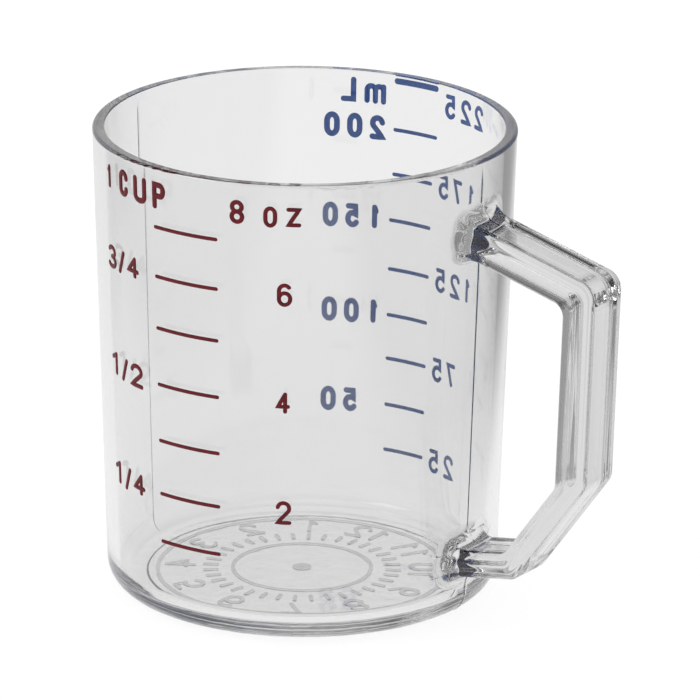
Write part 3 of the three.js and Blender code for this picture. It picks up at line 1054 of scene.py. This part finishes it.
# Brightness of the table over the distance from the cup's axis in metres, and of the sky over the
# sine of the elevation: as seen through the plastic, and as mirrored in its surfaces
# Seen through the plastic, the table is darker near the cup: a painted shadow of the cup
TABLE_THROUGH_SHADOWED = [(0.03, 0.93), (0.2, 0.99)]
TABLE_MIRRORED = [(0.05, 0.95), (0.3, 0.85)]
SKY_THROUGH = [(0.4, 0.99), (0.55, 0.65)]
SKY_MIRRORED = [
    (0.0, 0.9),
    (0.3, 0.85),
    (0.42, 0.4),
    (0.58, 0.25),
    (0.64, 0.02),
    (0.88, 0.02),
    (0.95, 0.9),
]
LEVELS_END = 0.4  # metres, where the table's ramps end

# What the plastic mirrors from the right of the cup is dimmed in the table's and sky's colours, as a
# grey card standing there would dim it: its share of brightness over the way to the right, in metres
# on the table and in parts of one in the sky
TO_THE_RIGHT = (0.829, 0.559, 0.0)
TABLE_CARD = [(0.06, 1.0), (0.12, 0.4)]
SKY_CARD = [(0.2, 1.0), (0.5, 0.4)]

# The background falls off at both sides, which dims light that the plastic bends far that way
TABLE_SIDES = [(0.06, 1.0), (0.1, 0.72)]
SKY_SIDES = [(0.2, 1.0), (0.4, 0.72)]


def add_levels(tree, source, levels, end=1.0):
    """A ramp of grey levels over a value from nought to end."""
    ramp = tree.nodes.new("ShaderNodeValToRGB")
    elements = ramp.color_ramp.elements
    while len(elements) < len(levels):
        elements.new(0.5)
    for element, (position, level) in zip(elements, levels):
        element.position = position / end
        element.color = grey(level)
    tree.links.new(add_range(tree, source, 0.0, 1.0, 0.0, end), ramp.inputs["Fac"])
    return ramp.outputs["Color"]


def dim_sideways(tree, place, levels, colour, both_sides=False):
    """Dims a colour over the way to the right, or to either side."""
    distance = add_vector_math(tree, "DOT_PRODUCT", place, TO_THE_RIGHT)
    if both_sides:
        distance = add_math(tree, "ABSOLUTE", distance)
    return add_mix(tree, 1.0, colour, add_levels(tree, distance, levels), "MULTIPLY")


def off_plastic(tree, path):
    """One for light that the plastic's surfaces bent or mirrored and that lit no paper or ink."""
    undimmed = add_math(tree, "LESS_THAN", path["Diffuse Depth"], 0.5)
    return add_math(tree, "MULTIPLY", undimmed, path["Is Glossy Ray"])


def pick_view(tree, path, mirrored, through):
    """Gives the second colour to light that the plastic only bent, and the first to mirrored light."""
    unmirrored = add_math(tree, "LESS_THAN", path["Glossy Depth"], 0.5)
    bent = add_math(tree, "MULTIPLY", unmirrored, path["Is Transmission Ray"])
    return add_mix(tree, bent, mirrored, through)


def add_table():
    half = TABLE_SIZE / 2
    corners = [(-half, -half, 0), (half, -half, 0), (half, half, 0), (-half, half, 0)]
    mesh = bpy.data.meshes.new("table")
    mesh.from_pydata(corners, [], [(0, 1, 2, 3)])
    table = bpy.data.objects.new("table", mesh)
    table.location.z = -TABLE_DROP
    bpy.context.scene.collection.objects.link(table)
    material, tree = new_material("white_paper")
    lit = add_node(tree, "ShaderNodeBsdfDiffuse", Color=grey(PAPER_SHADE))
    glow = add_node(tree, "ShaderNodeEmission", Color=grey(1), Strength=PAPER_GLOW)
    paper = tree.nodes.new("ShaderNodeAddShader")
    tree.links.new(lit.outputs["BSDF"], paper.inputs[0])
    tree.links.new(glow.outputs["Emission"], paper.inputs[1])
    path = tree.nodes.new("ShaderNodeLightPath").outputs
    place = tree.nodes.new("ShaderNodeTexCoord").outputs["Object"]
    away = add_vector_math(tree, "LENGTH", place)
    mirrored = add_levels(tree, away, TABLE_MIRRORED, LEVELS_END)
    mirrored = dim_sideways(tree, place, TABLE_CARD, mirrored)
    # Painted shadow of the cup on the table, seen only through the plastic
    through = add_levels(tree, away, TABLE_THROUGH_SHADOWED, LEVELS_END)
    through = dim_sideways(tree, place, TABLE_SIDES, through, both_sides=True)
    seen = add_node(tree, "ShaderNodeEmission", Strength=1.0)
    tree.links.new(pick_view(tree, path, mirrored, through), seen.inputs["Color"])
    pick = tree.nodes.new("ShaderNodeMixShader")
    tree.links.new(off_plastic(tree, path), pick.inputs[0])
    tree.links.new(paper.outputs["Shader"], pick.inputs[1])
    tree.links.new(seen.outputs["Emission"], pick.inputs[2])
    add_output(tree, pick.outputs["Shader"])
    mesh.materials.append(material)


def add_world():
    world = bpy.data.worlds.new("studio")
    bpy.context.scene.world = world
    world.use_nodes = True
    tree = world.node_tree
    tree.nodes.clear()
    place = tree.nodes.new("ShaderNodeTexCoord").outputs["Generated"]
    path = tree.nodes.new("ShaderNodeLightPath").outputs
    up = add_parts(tree, place)["Z"]
    mirrored = dim_sideways(tree, place, SKY_CARD, add_levels(tree, up, SKY_MIRRORED))
    through = add_levels(tree, up, SKY_THROUGH)
    through = dim_sideways(tree, place, SKY_SIDES, through, both_sides=True)
    view = pick_view(tree, path, mirrored, through)
    sky = add_node(tree, "ShaderNodeBackground", Strength=1.0)
    colour = add_mix(tree, off_plastic(tree, path), grey(1), view)
    tree.links.new(colour, sky.inputs["Color"])
    output = tree.nodes.new("ShaderNodeOutputWorld")
    tree.links.new(sky.outputs["Background"], output.inputs["Surface"])


def add_lamp(name, place, target, width, height, power):
    data = bpy.data.lights.new(name, "AREA")
    data.shape = "RECTANGLE"
    data.size = width
    data.size_y = height
    data.energy = power
    lamp = bpy.data.objects.new(name, data)
    lamp.location = place
    lamp.rotation_euler = (Vector(target) - Vector(place)).to_track_quat("-Z", "Y").to_euler()
    bpy.context.scene.collection.objects.link(lamp)


# Camera

CAMERA_PLACE = Vector((704.38, -1036.46, 452.13)) / METRE
CAMERA_RIGHT = Vector((0.82891, 0.55931, 0.00848))
CAMERA_UP = Vector((-0.18145, 0.25451, 0.94989))
FOCAL_PIXELS = 8000
PICTURE_PIXELS = 700
SENSOR_WIDTH = 36
NEAREST_SIGHT = 0.05  # metres
FARTHEST_SIGHT = 200  # metres


def add_camera():
    data = bpy.data.cameras.new("camera")
    data.sensor_width = SENSOR_WIDTH
    data.lens = SENSOR_WIDTH * FOCAL_PIXELS / PICTURE_PIXELS
    data.clip_start = NEAREST_SIGHT
    data.clip_end = FARTHEST_SIGHT
    camera = bpy.data.objects.new("camera", data)
    back = CAMERA_RIGHT.cross(CAMERA_UP)
    turn = Matrix((CAMERA_RIGHT, CAMERA_UP, back)).transposed()
    camera.matrix_world = Matrix.Translation(CAMERA_PLACE) @ turn.to_4x4()
    bpy.context.scene.collection.objects.link(camera)
    bpy.context.scene.camera = camera


# The scene

LIGHT_BOUNCES = 80  # light runs a long way inside the wall before it gets out


def add_cup():
    skin = Skin()
    azimuths = wall_columns()
    upper_rows = frame_rows(*UPPER_FRAME)
    lower_rows = frame_rows(*LOWER_FRAME)
    add_wall(skin, azimuths, upper_rows, lower_rows)
    add_handle(skin, frame_columns(), upper_rows, lower_rows)
    add_underside(skin, azimuths)
    mesh = skin.mesh("clear_cup")
    add_piece("clear_cup", mesh, clear_plastic(), ["cup_body", "handle"])


add_cup()
red = printing_ink("red_ink", RED_LIGHT, RED_DARK)
blue = printing_ink("blue_ink", BLUE_LIGHT, BLUE_DARK)
add_print((red, "red_ink"), (blue, "blue_ink"))
add_table()
add_world()
add_lamp("key", place=(-0.9, -1.1, 1.6), target=(0, 0, 0.04), width=0.8, height=0.8, power=6)
add_camera()

scene = bpy.context.scene
scene.view_settings.view_transform = "Standard"
scene.cycles.max_bounces = LIGHT_BOUNCES
scene.cycles.transmission_bounces = LIGHT_BOUNCES
scene.cycles.glossy_bounces = LIGHT_BOUNCES
